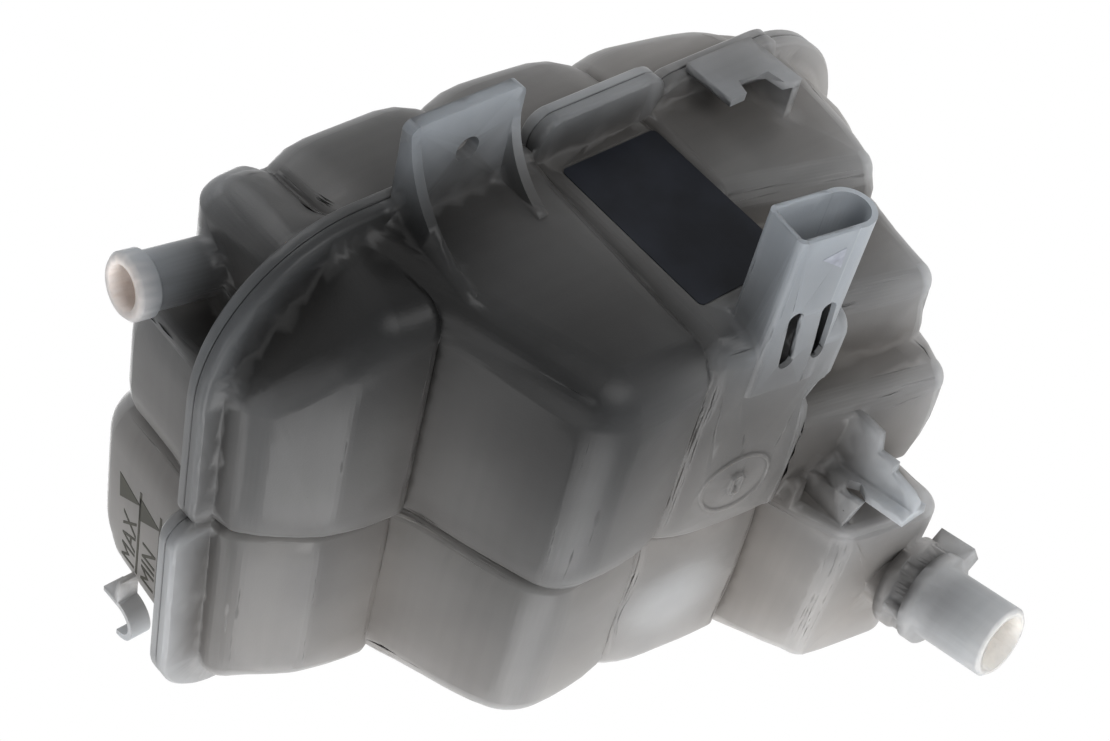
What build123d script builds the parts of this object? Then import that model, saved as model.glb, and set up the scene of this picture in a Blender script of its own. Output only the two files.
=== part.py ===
from build123d import *
import os
from math import cos, radians, sin, tan

# Coolant expansion tank: two moulded halves welded along a flange, in the position of use, +Z up.
# The pieces are laid out on the tank's own grid, with the weld plane at z = 0. At the end they are
# moved so that the origin is the bolt hole of the mounting ear, on the ear's underside.

# Walls, roundings and inner openings of the cells
wall = 2.6
overlap = 1.5
beyond = 400.0
rim = 12.0
crisp_radius = 5.0
chamfer_share = 0.6
window_depth = 18.0
row_windows_x = ((-2.0, 28.0), (58.0, 94.0), (112.0, 142.0), (166.0, 200.0))
front_window_y = (64.0, 92.0)
back_window_y = (122.0, 174.0)
drain_d = 8.0
drain_lift = 11.0
drain_inset = 18.0
step_laps = (0.3, 0.7, 1.1)
upper_laps = (1.0, 1.2, 1.4)
sump_lap = 1.3
column_laps = (0.7, 0.9, 1.1)
left_column_laps = (0.7, 0.8, 0.9, 1.1)
same_place = 0.001
on_rim_within = 0.2

# Weld flange: the lobes' outer edges, measured on the weld plane
flange_thick = 4.6
flange_round = 1.4
flange_bevel = 0.5
flange_reach = 9.0
flange_notch_x = 157.0
side_notch_x = 214.0
side_flange_x = 259.0
slant_flange_y = -3.5
panel_flange_y = -12.0
step_flange_y = -7.0
corner_flange_x = -20.0
corner_flange_y = -4.5
corner_flange_radius = 54.0
level_flange_x = -26.0
level_flange_radius = 26.0
lobe_radius = 9.0
lobe_lap = 1.5

# Grid of the lower cells at the weld plane: outer walls and the grooves between the cells
left_x = -12.5
left_lean = (1.0, 1.5)
groove_a_x = 39.5
groove_b_x = 102.5
groove_c_x = 151.0
sump_right_x = 213.0
sump_side_lean = 4.0
right_x = 222.5
right_lean = 1.0
side_x = 251.5
shallow_front_y = 3.0
front_y = 1.0
panel_y = 4.0
row_y = 104.5
back_y = 190.0
front_draft = 6.4
panel_draft = 3.0
back_draft = 4.0
corner_front_x = 27.0
corner_back_y = 42.0
side_front_y = 6.0
side_corner_radius = 44.0
side_back_radius = 15.0

# Depths of the lower cells below the weld plane, and how much shallower the back row is
shallow_left_z = -18.0
shallow_mid_x = 12.0
shallow_mid_z = -34.0
shallow_right_z = -41.0
slant_foot_x = 60.0
slant_foot_z = -94.5
slant_lean = 0.391
middle_left_z = -95.5
middle_right_z = -105.0
row_lift = 4.0
sump_knee_z = -94.0
sump_left_x = 163.0
sump_left_z = -128.0
sump_right_z = -138.5
slant_foot_radius = 18.0
slant_brow_radius = 16.0
shallow_radius = 13.0
shallow_brow_radius = 12.0
soft_radius = 10.0
brow_radius = 9.0

# Steps of the front right cells: front wall and depth at the right wall
step_front_y = (2.0, 20.0, 49.0)
step_depth_z = (-62.0, -99.0, -118.0)
step_slope = 0.25

# Shallow cell at the right of the front row, below and above the weld plane
side_depth_z = -37.0
side_height_z = 29.0

# Grid of the upper cells, and their heights at the left and right walls
upper_a_x = 34.0
upper_b_x = 95.5
upper_c_x = 156.0
upper_right_x = 216.0
corner_cell_y = 40.0
side_cell_y = 48.0
upper_front_y = 2.0
upper_draft = 5.0
upper_side_lean = 4.0
upper_end_grow = 1.0
upper_radius = 13.0
upper_brow_radius = 12.0
corner_cell_x = 6.0
corner_cell_z = (50.0, 53.0)
recess_cell_x = 4.0
recess_cell_z = (44.0, 47.0)
side_cell_z = (57.0, 56.0)
level_cell_z = (66.0, 63.0)
front_cell_z = ((52.0, 52.0), (50.0, 45.0), (42.0, 30.0))
back_cell_z = ((59.0, 57.0), (55.0, 52.0), (46.0, 36.0))

# Mounting ear and its gussets
ear_left_x = 46.0
ear_right_x = 90.0
ear_reach = 33.6
ear_corner = 3.0
ear_hole_x = 69.8
ear_hole_y = -16.7
ear_hole_d = 9.0
gusset_thick = 3.6
gusset_foot = 1.0
gusset_hollow = 0.3
gusset_bend = 0.45
gusset_left_z = -39.0
gusset_right_z = -24.5

# Forked bracket under the flange
fork_left_x = 168.0
fork_right_x = 198.0
fork_face_y = -8.0
fork_thick = 3.2
fork_left_z = -23.6
fork_right_z = -27.5
fork_prong = 7.0
fork_notch_z = -17.5
fork_side_depth = 14.0
fork_slant = 1.5
fork_notch_lean = (2.0, 1.0)

# Level sensor pocket: a D section along Y, turned with the bottom of its cell
pocket_x = 130.5
pocket_z = -93.0
pocket_width = 33.0
pocket_height = 17.7
pocket_turn = 10.0
pocket_wall = 1.9
pocket_bore_corner = 1.0
pocket_mouth_y = -34.0
pocket_end_y = 31.0
latch_x = (123.4, 136.0)
latch_width = 5.4
latch_turn = 8.0
latch_front_y = -3.5
latch_back_y = 21.5

# Gate disc on the bottom of the middle cell
gate_x = 124.4
gate_y = 76.5
gate_radius = 13.7
gate_rise = 0.8
gate_rim = 1.2
nub_length = 10.0
nub_width = 5.0
nub_rise = 2.0

# Outlet spigot on the sump: a leaning tube with a castellated collar and a key
outlet_root = (197.0, 138.6, -136.0)
outlet_lean = 13.0
outlet_d = 27.5
outlet_bore = 21.5
outlet_length = 46.5
outlet_sink = 14.0
collar_d = 35.0
collar_low = 3.0
collar_high = 14.0
collar_thick = 4.0
collar_ribs = 6
collar_rib_width = 4.0
key_width = 8.0
key_length = collar_high + collar_thick - collar_low
key_reach = 12.0
key_turn = 28.0
outlet_ease = 1.2

# Hose spigot on the upper half, from its mouth
hose_mouth = (-21.9, 30.0, 35.8)
hose_yaw = 7.5
hose_pitch = 3.0
hose_d = 19.2
hose_bore = 14.6
hose_length = 48.0
hose_bead_d = 22.0
hose_bead_length = 8.0
hose_bead_ease = 0.95

# Locating foot beside the sump: places on its plate and webs are given across or forwards, then down
foot_root = (168.2, 94.3, -97.0)
foot_lean = 10.0
foot_width = 12.0
foot_length = 44.4
foot_thick = 3.5
foot_sink = 10.0
foot_catch = ((0.0, 28.6), (2.6, 23.7), (0.5, 20.1), (-4.4, 19.5), (-1.5, 12.4))
foot_web_tip = 6.6
foot_web = ((9.2, 41.6), (12.7, 33.0), (16.4, 33.0), (16.8, 25.8), (24.1, 25.0), (26.4, 16.7))
foot_stay_reach = 14.0
foot_stay = (23.2, 28.6)
foot_ledge_x = -7.7
foot_ledge_width = 5.2
foot_ledge = (7.4, 9.0)

# Hose hook at the back left corner of the upper half
hook_x = -14.0
hook_y = 196.0
hook_z = 34.0
hook_radius = 9.0
hook_thick = 2.4
hook_width = 8.0

# Label in its recess on the front wall
label_x = 129.8
label_z = -42.7
label_width = 41.6
label_height = 66.0
label_thick = 0.3
label_corner = 2.0
recess_depth = 0.4
recess_margin = 0.8

# Filler neck, on top, sized by the ring that seals its bore
neck_x = 126.0
neck_y = 148.0
neck_top_z = 72.0
neck_wall = 4.0
seal_d = 35.2
seal_gap = 0.4
neck_bore = seal_d + 2 * seal_gap
neck_d = neck_bore + 2 * neck_wall

# Screw cap: shell, insert with its seal groove, valve and spring
cap_gap = 0.3
thread_gap = 1.2
cap_skirt_wall = 3.4
cap_skirt = 16.0
cap_top = 2.6
cap_ribs = 12
cap_rib_d = 3.0
plug_gap = 0.6
insert_plug_d = neck_bore - 2 * plug_gap
insert_plug_wall = 4.2
insert_plug_length = 14.0
hub_ledge = 1.0
insert_hub_d = neck_bore + 2 * hub_ledge
insert_hub = 1.0
disc_ledge = 2.0
insert_disc_d = insert_hub_d + 2 * disc_ledge
insert_disc = 2.0
seal_width = 3.2
seal_ease = 0.6
seal_section = 3.2
seal_groove_d = seal_d - 2 * seal_section
seal_drop = 7.0
valve_floor = 2.4
valve_port_d = 10.0
valve_d = 20.0
valve_thick = 2.6
spring_wire = 1.4
spring_d = 15.0
spring_turns = 3.0
spring_plate = 2.0
plate_ledge = 1.0
plate_vent_d = 3.0
plate_vents = 3
vacuum_d = 8.0
vacuum_thick = 1.2
vacuum_stem_d = 2.6
vacuum_knob_d = 4.6
vacuum_travel = 1.0

# Level float on its post
float_x = 126.0
float_y = 31.0
float_d = 32.0
float_height = 16.0
float_ease = 1.5
float_seat_z = -77.0
seat_d = 13.0
post_d = 6.0
post_top_z = -22.0
slide_gap = 0.4
magnet_d = 20.0
magnet_bore = 11.0
magnet_height = 5.0
retainer_d = 14.0
retainer_height = 2.5


on_base = (Align.CENTER, Align.CENTER, Align.MIN)


def facing(block, direction, least=0.8):
    """Flat faces of a block that look along a direction."""
    flat = block.faces().filter_by(GeomType.PLANE)
    return [f for f in flat if f.normal_at().dot(Vector(*direction)) > least]


def rim_free(edges, rim_z):
    """Edges that lie off the rim, each once."""
    kept = []
    for e in edges:
        on_rim = abs(e.center().Z - rim_z) < on_rim_within
        if not on_rim and not any((e.center() - k.center()).length < same_place for k in kept):
            kept.append(e)
    return kept


def cell(section, y_ends, drafts, crisp, radii, inset=0.0, corner=False):
    """One pillow of the tank: a section across X, cut to length by its two ends.

    The section runs past the weld plane to the rim, where its edges stay sharp. Sides named in
    crisp lie at a groove and get the small rounding, the other edges get the soft ones. The hollow
    inside the wall mostly has chamfers for the soft ones, and stays sharp at the grooves.
    """
    chamfered = inset and not corner
    share = chamfer_share if chamfered else 1.0
    ease = chamfer if chamfered else fillet
    soft, brow, small = [share * (r - inset) for r in radii]
    side = -1.0 if section[1][1] < 0.0 else 1.0
    reach = max(abs(z) for x, z in section) + rim
    front = tan(radians(drafts[0]))
    back = tan(radians(drafts[1]))
    y_front = y_ends[0] + inset
    y_back = y_ends[1] - inset
    outline = Polygon(*section, align=None)
    if inset:
        outline = offset(outline, -inset, kind=Kind.INTERSECTION)
    ends = Polygon(
        (y_front - front * rim, -side * rim),
        (y_front + front * reach, side * reach),
        (y_back - back * reach, side * reach),
        (y_back + back * rim, -side * rim),
        align=None,
    )
    block = extrude(Plane.XZ * outline, amount=beyond, both=True)
    block = block & extrude(Plane.YZ * ends, amount=beyond, both=True)
    if corner:
        block = block - corner_cut(inset)
    rim_z = -side * (rim - inset)
    looks = {"left": (-1, 0, 0), "right": (1, 0, 0), "front": (0, -1, 0), "back": (0, 1, 0)}

    def crisp_edges():
        found = [e for name in crisp for f in facing(block, looks[name]) for e in f.edges()]
        return rim_free(found, rim_z)

    def outside(edges):
        held = crisp_edges()
        return [e for e in edges if not any((e.center() - h.center()).length < same_place for h in held)]

    along = [e for e in block.edges() if abs(e.tangent_at(0.5).Y) > 0.9]
    along = outside(rim_free(along, rim_z))
    if along:
        block = ease(along, soft)
    open_ends = [looks[name] for name in ("front", "back") if name not in crisp]
    if corner:
        open_ends.append((-0.7, -0.7, 0))
    bare = [e for look in open_ends for f in facing(block, look, 0.9) for e in f.edges()]
    bare = outside(rim_free(bare, rim_z))
    if bare:
        block = ease(bare, brow)
    if inset:
        return block
    return fillet(crisp_edges(), small)


def corner_cut(inset):
    """What the slanting corner at the front left takes off, moved inwards by the inset."""
    start = Vector(left_x, corner_back_y, 0)
    end = Vector(corner_front_x, front_y, 0)
    run = (end - start).normalized()
    inwards = Vector(-run.Y, run.X, 0) * inset
    start = start + inwards - run * beyond
    end = end + inwards + run * beyond
    away = Vector(run.Y, -run.X, 0) * beyond
    points = [(p.X, p.Y) for p in (start, end, end + away, start + away)]
    return extrude(Polygon(*points, align=None), amount=beyond, both=True)


def lobe(x_left, x_right, y_front, y_back):
    """One rounded lobe of the flange's outline."""
    middle = Pos((x_left + x_right) / 2, (y_front + y_back) / 2)
    return middle * RectangleRounded(x_right - x_left, y_back - y_front, lobe_radius)


def corner_lobe(x_inner, x_outer, y_front, y_back, front_radius, back_radius):
    """Plan with a radius of its own at each outer corner, left or right."""
    middle = Pos((x_inner + x_outer) / 2, (y_front + y_back) / 2)
    plan = middle * Rectangle(abs(x_outer - x_inner), y_back - y_front)
    outer = -1 if x_outer > x_inner else 0
    plan = fillet(plan.vertices().group_by(Axis.X)[outer].sort_by(Axis.Y)[-1], back_radius)
    return fillet(plan.vertices().group_by(Axis.Y)[0].sort_by(Axis.X)[outer], front_radius)


def side_cell(level, radius, inset):
    """Shallow cell at the right of the front row, from the rim to a level, with a rounded corner."""
    side = 1.0 if level > 0.0 else -1.0
    plan = corner_lobe(groove_c_x, side_x, side_front_y, row_y, side_corner_radius, side_back_radius)
    plan = offset(plan, -inset) if inset else plan
    height = side * (abs(level) + rim - inset)
    block = extrude(Plane.XY.offset(-side * rim) * plan, amount=height, taper=upper_draft)
    end = block.faces().sort_by(Axis.Z)[-1 if side > 0.0 else 0]
    return fillet(end.edges(), radius - inset)


def lower_cells(inset):
    """The cells of the lower half, whole or as the hollows inside the wall."""
    a_x = groove_a_x + overlap
    b_right = groove_b_x + overlap
    b_left = groove_b_x - overlap
    c_right = groove_c_x + overlap
    c_left = groove_c_x - overlap
    slant_top_x = slant_foot_x + slant_lean * (slant_foot_z - rim)

    def sections(lift):
        shallow = [
            (left_x - left_lean[0], rim),
            (left_x + left_lean[1], shallow_left_z + lift),
            (shallow_mid_x, shallow_mid_z + lift),
            (a_x, shallow_right_z + lift),
            (a_x, rim),
        ]
        slanted = [
            (slant_top_x, rim),
            (slant_foot_x - slant_lean * lift, slant_foot_z + lift),
            (b_right, middle_left_z + lift),
            (b_right, rim),
        ]
        middle = [
            (b_left, rim),
            (b_left, middle_left_z + lift),
            (c_right, middle_right_z + lift),
            (c_right, rim),
        ]
        return shallow, slanted, middle

    shallow_radii = (shallow_radius, shallow_brow_radius, crisp_radius)
    slant_radii = (slant_foot_radius, slant_brow_radius, crisp_radius)
    plain_radii = (soft_radius, brow_radius, crisp_radius)
    cells = []
    columns = (
        (shallow_front_y, front_draft, ("right",), shallow_radii),
        (front_y, front_draft, ("right",), slant_radii),
        (panel_y, panel_draft, ("left", "right"), plain_radii),
    )
    for k, (y_front, draft, sides, radii) in enumerate(columns):
        lap = column_laps[k]
        front_ends = (y_front, row_y + lap * overlap)
        back_ends = (row_y - lap * overlap, back_y + lap)
        front_section = sections(0.0)[k]
        back_section = sections(row_lift)[k]
        cells.append(cell(front_section, front_ends, (draft, 0), sides + ("back",), radii, inset, k == 0))
        cells.append(cell(back_section, back_ends, (0, back_draft), sides + ("front",), radii, inset))
    sump = [
        (c_left, rim),
        (c_left, sump_knee_z),
        (sump_left_x, sump_left_z),
        (sump_right_x - sump_side_lean, sump_right_z),
        (sump_right_x, rim),
    ]
    sump_ends = (row_y - sump_lap * overlap, back_y)
    cells.append(cell(sump, sump_ends, (0, back_draft), ("front",), plain_radii, inset))
    for step_y, step_z, lap in zip(step_front_y, step_depth_z, step_laps):
        x_left = groove_c_x - lap * overlap
        x_right = right_x + lap
        rise = step_slope * (x_right - x_left)
        step = [(x_left, rim), (x_left, step_z + rise), (x_right - right_lean, step_z), (x_right, rim)]
        ends = (step_y, row_y + lap * overlap)
        cells.append(cell(step, ends, (front_draft, 0), ("left", "back"), plain_radii, inset))
    cells.append(side_cell(side_depth_z, brow_radius, inset))
    return cells


def upper_cells(inset):
    """The cells of the upper half, whole or as the hollows inside the wall."""
    radii = (upper_radius, upper_brow_radius, crisp_radius)
    walls = (left_x, upper_a_x, upper_b_x, upper_c_x, upper_right_x)

    def section(k, heights, lap, left=None):
        x_left = walls[k] - (upper_end_grow if k == 0 else lap * overlap) if left is None else left
        x_right = walls[k + 1] + (upper_end_grow if k == 3 else lap * overlap)
        lean_left = upper_side_lean if k == 0 else 0.0
        lean_right = upper_side_lean if k == 3 else 0.0
        return [
            (x_left, -rim),
            (x_left + lean_left, heights[0]),
            (x_right - lean_right, heights[1]),
            (x_right, -rim),
        ]

    sides = (("right",), ("left", "right"), ("left", "right"), ("left",))
    cells = []
    corner_ends = (shallow_front_y, corner_cell_y + overlap)
    recess_ends = (corner_cell_y - lobe_radius, side_cell_y + lobe_radius)
    side_ends = (side_cell_y - overlap, row_y + overlap)
    level_ends = (row_y - overlap, back_y)
    left_column = (
        (corner_cell_x, corner_cell_z, corner_ends, ("back",)),
        (recess_cell_x, recess_cell_z, recess_ends, ("front", "back")),
        (None, side_cell_z, side_ends, ("front", "back")),
        (None, level_cell_z, level_ends, ("front",)),
    )
    for lap, (left, heights, ends, crisp_ends) in zip(left_column_laps, left_column):
        drafts = [0 if name in crisp_ends else upper_draft for name in ("front", "back")]
        shape = section(0, heights, lap, left)
        cells.append(cell(shape, ends, drafts, sides[0] + crisp_ends, radii, inset))
    for k in (1, 2, 3):
        lap = upper_laps[k - 1]
        front_ends = (upper_front_y, row_y + lap * overlap)
        back_ends = (row_y - lap * overlap, back_y + lap)
        front_shape = section(k, front_cell_z[k - 1], lap)
        back_shape = section(k, back_cell_z[k - 1], lap)
        cells.append(cell(front_shape, front_ends, (upper_draft, 0), sides[k] + ("back",), radii, inset))
        cells.append(cell(back_shape, back_ends, (0, upper_draft), sides[k] + ("front",), radii, inset))
    cells.append(side_cell(side_height_z, upper_brow_radius, inset))
    return cells


def flange_lobes():
    """Outlines of the weld flange: a lobe round each outer cell, so that it is notched at the grooves."""
    row_front = row_y - lobe_lap
    row_back = row_y + lobe_lap
    back = back_y + flange_reach
    near = groove_a_x + 2 * lobe_radius
    return [
        corner_lobe(near, corner_flange_x, corner_flange_y, row_back, corner_flange_radius, lobe_radius),
        corner_lobe(near, level_flange_x, row_front, back, lobe_radius, level_flange_radius),
        lobe(groove_a_x, groove_b_x + lobe_lap, slant_flange_y, row_back),
        lobe(groove_b_x - lobe_lap, flange_notch_x + lobe_lap, panel_flange_y, row_back),
        lobe(flange_notch_x - lobe_lap, side_notch_x + lobe_lap, step_flange_y, row_back),
        corner_lobe(groove_c_x, side_flange_x, corner_flange_y, row_back, corner_flange_radius, lobe_radius),
        lobe(groove_c_x, sump_right_x + flange_reach, row_front, back),
        lobe(groove_b_x - lobe_lap, groove_c_x + lobe_lap, row_front, back + lobe_lap),
        lobe(groove_a_x, groove_b_x + lobe_lap, row_front, back),
    ]


def flange(side):
    """The flange of one half, with an eased outer edge and a fine bevel at the weld."""
    plates = []
    for outline in flange_lobes():
        plate = extrude(outline, amount=side * flange_thick)
        outer = plate.edges().group_by(Axis.Z)[-1 if side > 0 else 0]
        plate = chamfer(outer, flange_round)
        weld = plate.edges().group_by(Axis.Z)[0 if side > 0 else -1]
        plates.append(chamfer(weld, flange_bevel))
    return plates[0] + plates[1:]


def half_space(side):
    """All that lies on one side of the weld plane."""
    return Pos(0, 0, side * beyond / 2) * Box(2 * beyond, 2 * beyond, beyond)


def leaning_plane(root, lean):
    """Plane at a root point whose normal points down and leans to the front."""
    down = (0, -sin(radians(lean)), -cos(radians(lean)))
    return Plane(origin=root, x_dir=(1, 0, 0), z_dir=down)


def ear():
    """Mounting ear: the flange carried out to a bolt hole, on two hollow-edged gussets."""
    width = ear_right_x - ear_left_x
    depth = ear_reach + lobe_radius
    plate = Pos((ear_left_x + ear_right_x) / 2, (lobe_radius - ear_reach) / 2)
    plate = extrude(plate * RectangleRounded(width, depth, ear_corner), amount=-flange_thick)
    solids = [plate]
    for x, tip_z in ((ear_left_x, gusset_left_z), (ear_right_x - gusset_thick, gusset_right_z)):
        wall_y = front_y - tip_z * tan(radians(front_draft))
        outer = (-ear_reach + ear_corner, -flange_thick)
        foot = (wall_y - gusset_foot, tip_z)
        middle = (foot[0] - gusset_hollow * (foot[0] - outer[0]), gusset_bend * tip_z)
        edge = ThreePointArc(outer, middle, foot)
        top = -flange_thick / 2
        rest = Polyline(foot, (wall_y + wall, tip_z), (wall_y + wall, top), (outer[0], top), outer)
        web = Plane(origin=(x, 0, 0), x_dir=(0, 1, 0), z_dir=(1, 0, 0)) * make_face([edge, rest])
        solids.append(extrude(web, amount=gusset_thick))
    return solids


def fork():
    """Forked bracket: a plate hung from the flange, its lower edge notched, with one side wall."""
    top = -flange_thick / 2
    outline = Polygon(
        (fork_left_x, top),
        (fork_right_x, top),
        (fork_right_x, fork_right_z),
        (fork_right_x - fork_prong, fork_right_z + fork_slant),
        (fork_right_x - fork_prong - fork_notch_lean[1], fork_notch_z - fork_slant),
        (fork_left_x + fork_prong + fork_notch_lean[0], fork_notch_z),
        (fork_left_x + fork_prong, fork_left_z),
        (fork_left_x, fork_left_z),
        align=None,
    )
    plate = extrude(Plane(origin=(0, fork_face_y, 0), x_dir=(1, 0, 0), z_dir=(0, -1, 0)) * outline,
                    amount=-fork_thick)
    middle = Pos(fork_right_x - fork_thick / 2, fork_face_y + fork_side_depth / 2, (fork_right_z + top) / 2)
    return [plate, middle * Box(fork_thick, fork_side_depth, top - fork_right_z)]


def foot():
    """Locating foot: a leaning plate with a catch, a stepped web in front, and two stays to the sump."""
    plane = leaning_plane(foot_root, foot_lean)
    outline = Polygon(
        *foot_catch,
        (foot_catch[-1][0], -foot_sink),
        (foot_width, -foot_sink),
        (foot_width, foot_length),
        (0, foot_length),
        align=None,
    )
    plate = extrude(Plane.XZ * outline, amount=-foot_thick)

    def web(x, points, thick):
        across_plane = Plane(origin=(x, 0, 0), x_dir=(0, 1, 0), z_dir=(1, 0, 0))
        return extrude(across_plane * Polygon(*points, align=None), amount=thick)

    front = [
        (0, foot_length),
        (foot_web_tip, foot_length),
        *foot_web,
        (foot_web[-1][0], -foot_sink),
        (0, -foot_sink),
    ]

    def stay(at_wall, at_plate):
        return [(0, -foot_sink), (-foot_stay_reach, -foot_sink), (-foot_stay_reach, at_wall), (0, at_plate)]

    local = [
        plate,
        web(foot_width - foot_thick, front, foot_thick),
        web(0, stay(*foot_stay), foot_thick),
        web(foot_ledge_x, stay(*foot_ledge), foot_ledge_width),
    ]
    return [plane * solid for solid in local]


def outlet():
    """Outlet spigot: tube, two rings joined by ribs, the key that bridges them, and the bore."""
    plane = leaning_plane(outlet_root, outlet_lean)
    length = outlet_length + outlet_sink
    tube = Pos(0, 0, -outlet_sink) * Cylinder(outlet_d / 2, length, align=on_base)
    solids = [chamfer(tube.edges().sort_by(Axis.Z)[-1], outlet_ease)]
    for start in (collar_low, collar_high):
        solids.append(Pos(0, 0, start) * Cylinder(collar_d / 2, collar_thick, align=on_base))
    rib_depth = (collar_d - outlet_d) / 2
    rib = Box(rib_depth, collar_rib_width, collar_high - collar_low, align=on_base)
    for place in PolarLocations(outlet_d / 2 + rib_depth / 4, collar_ribs):
        solids.append(Pos(0, 0, collar_low) * place * rib)
    key = Box(key_reach, key_width, key_length, align=(Align.MIN, Align.CENTER, Align.MIN))
    solids.append(Pos(0, 0, collar_low) * Rotation(0, 0, key_turn) * Pos(outlet_bore / 2) * key)
    bore = Pos(0, 0, -2 * outlet_sink) * Cylinder(outlet_bore / 2, 2 * length, align=on_base)
    return [plane * solid for solid in solids], plane * bore


def pocket_section(grow):
    """D section of the sensor pocket: flat at the left, round at the right."""
    width = pocket_width + 2 * grow
    height = pocket_height + 2 * grow
    corner = pocket_bore_corner + pocket_wall + grow
    flat = Pos(-height / 4) * RectangleRounded(width - height / 2, height, corner)
    nose = Pos((width - height) / 2) * Circle(height / 2)
    return flat + nose


def pocket_at(y):
    """Plane across the pocket, looking out of its mouth, turned with the bottom of its cell."""
    turn = radians(pocket_turn)
    return Plane(origin=(pocket_x, y, pocket_z), x_dir=(cos(turn), 0, -sin(turn)), z_dir=(0, -1, 0))


def pocket():
    """Sensor pocket, closed at its inner end, and what is cut from it."""
    length = pocket_end_y - pocket_mouth_y
    body = extrude(pocket_at(pocket_end_y) * pocket_section(0.0), amount=length)
    bore = extrude(pocket_at(pocket_end_y - pocket_wall) * pocket_section(-pocket_wall), amount=length)
    cuts = [bore]
    reach = latch_back_y - latch_front_y
    for x in latch_x:
        slot = SlotOverall(reach, latch_width, rotation=90 - latch_turn)
        place = Pos(x, (latch_front_y + latch_back_y) / 2, pocket_z - 1.5 * pocket_height)
        cuts.append(extrude(place * slot, amount=1.5 * pocket_height))
    return body, cuts


def gate():
    """Gate disc on the middle cell's bottom, with its cut sprue."""
    slope = (middle_right_z - middle_left_z) / (groove_c_x - groove_b_x)
    z = middle_left_z + slope * (gate_x - groove_b_x)
    plane = Plane(origin=(gate_x, gate_y, z), x_dir=(1, 0, slope), z_dir=(slope, 0, -1))
    disc = Pos(0, 0, -wall / 2) * Cylinder(gate_radius, gate_rise + wall / 2, align=on_base)
    dish = Cylinder(gate_radius - gate_rim, gate_rise, align=on_base)
    nub = SlotOverall(nub_length, nub_width, rotation=90)
    nub = nub - SlotOverall(nub_length - 2 * gate_rim, nub_width - 2 * gate_rim, rotation=90)
    nub = extrude(Plane.XY.offset(-wall / 2) * nub, amount=nub_rise + wall / 2)
    return plane * (disc - dish + nub)


def label_plane():
    """Plane of the front panel at the label's centre."""
    draft = radians(panel_draft)
    return Plane(
        origin=(label_x, panel_y - label_z * tan(draft), label_z),
        x_dir=(1, 0, 0),
        z_dir=(0, -cos(draft), -sin(draft)),
    )


def across(centre):
    """Range that a cut needs to pass through the wall on a groove."""
    half = 2 * (overlap + wall)
    return (centre - half, centre + half)


def label_outline(margin):
    """Outline of the label, or of its recess with a margin round it."""
    return RectangleRounded(label_width + 2 * margin, label_height + 2 * margin, label_corner + margin)


def windows(side, columns):
    """Openings at the weld plane through the walls between the rows and between the columns."""
    openings = [(x_range, across(row_y)) for x_range in row_windows_x]
    for x in columns:
        openings.append((across(x), front_window_y))
        openings.append((across(x), back_window_y))
    cuts = []
    for (x0, x1), (y0, y1) in openings:
        place = Pos((x0 + x1) / 2, (y0 + y1) / 2, side * window_depth / 2)
        cuts.append(place * Box(x1 - x0, y1 - y0, window_depth))
    return cuts


def drains():
    """Round holes at the foot of the inner walls, so that the cells empty into the sump."""
    z = middle_left_z + row_lift + drain_lift
    length = 4 * (overlap + wall)
    along_y = Rotation(90, 0, 0) * Cylinder(drain_d / 2, length)
    along_x = Rotation(0, 90, 0) * Cylinder(drain_d / 2, length)
    places = [Pos(x - drain_inset, row_y, z) for x in (groove_b_x, groove_c_x, sump_right_x)]
    cuts = [place * along_y for place in places]
    for x in (groove_b_x, groove_c_x):
        for y in (row_y - drain_inset, row_y + drain_inset):
            cuts.append(Pos(x, y, z) * along_x)
    return cuts


def float_post():
    """Seat and post of the level float, standing on the sensor pocket."""
    seat = Pos(float_x, float_y, pocket_z) * Cylinder(seat_d / 2, float_seat_z - pocket_z, align=on_base)
    post = Pos(float_x, float_y, pocket_z) * Cylinder(post_d / 2, post_top_z - pocket_z, align=on_base)
    return [seat, post]


def lower_half():
    """The lower moulding with everything that is moulded on it."""
    cells = lower_cells(0.0)
    shell = (cells[0] + cells[1:]) & half_space(-1)
    spigot, bore = outlet()
    shell = shell + [flange(-1), *ear(), *fork(), *foot(), *spigot, gate()]
    shell = shell - [*lower_cells(wall), *windows(-1, (groove_b_x, groove_c_x)), *drains(), bore]
    body, cuts = pocket()
    shell = shell + [body, *float_post()]
    hole = Pos(ear_hole_x, ear_hole_y) * Cylinder(ear_hole_d / 2, 4 * flange_thick)
    recess = extrude(label_plane() * label_outline(recess_margin), amount=-recess_depth)
    return shell - [*cuts, hole, recess]


def hose_spigot():
    """Small hose spigot on the upper half, with a bead at its mouth, and its bore."""
    yaw = radians(hose_yaw)
    rise = radians(hose_pitch)
    inwards = (cos(yaw) * cos(rise), sin(yaw) * cos(rise), -sin(rise))
    plane = Plane(origin=hose_mouth, x_dir=(0, 0, 1), z_dir=inwards)
    tube = Cylinder(hose_d / 2, hose_length, align=on_base)
    bead = Cylinder(hose_bead_d / 2, hose_bead_length, align=on_base)
    bead = chamfer(bead.edges().filter_by(GeomType.CIRCLE), hose_bead_ease * (hose_bead_d - hose_d) / 2)
    bore = Cylinder(hose_bore / 2, hose_length + hose_bead_length, align=on_base)
    return [plane * tube, plane * bead], plane * bore


def hook():
    """Open hook for a hose, on the back left corner of the upper half."""
    ring = Circle(hook_radius) - Circle(hook_radius - hook_thick)
    mouth = Pos(hook_radius / 2, hook_radius) * Rectangle(3 * hook_radius, 2 * hook_radius)
    stem = Pos(-hook_radius + hook_thick / 2, hook_radius / 2) * Rectangle(hook_thick, hook_radius)
    tab = Pos(-1.5 * hook_radius, hook_thick / 2) * Rectangle(hook_radius + hook_thick, hook_thick)
    plane = Plane(origin=(hook_x, hook_y, hook_z), x_dir=(0, 1, 0), z_dir=(1, 0, 0))
    return extrude(plane * (ring - mouth + stem + tab), amount=hook_width / 2, both=True)


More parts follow.
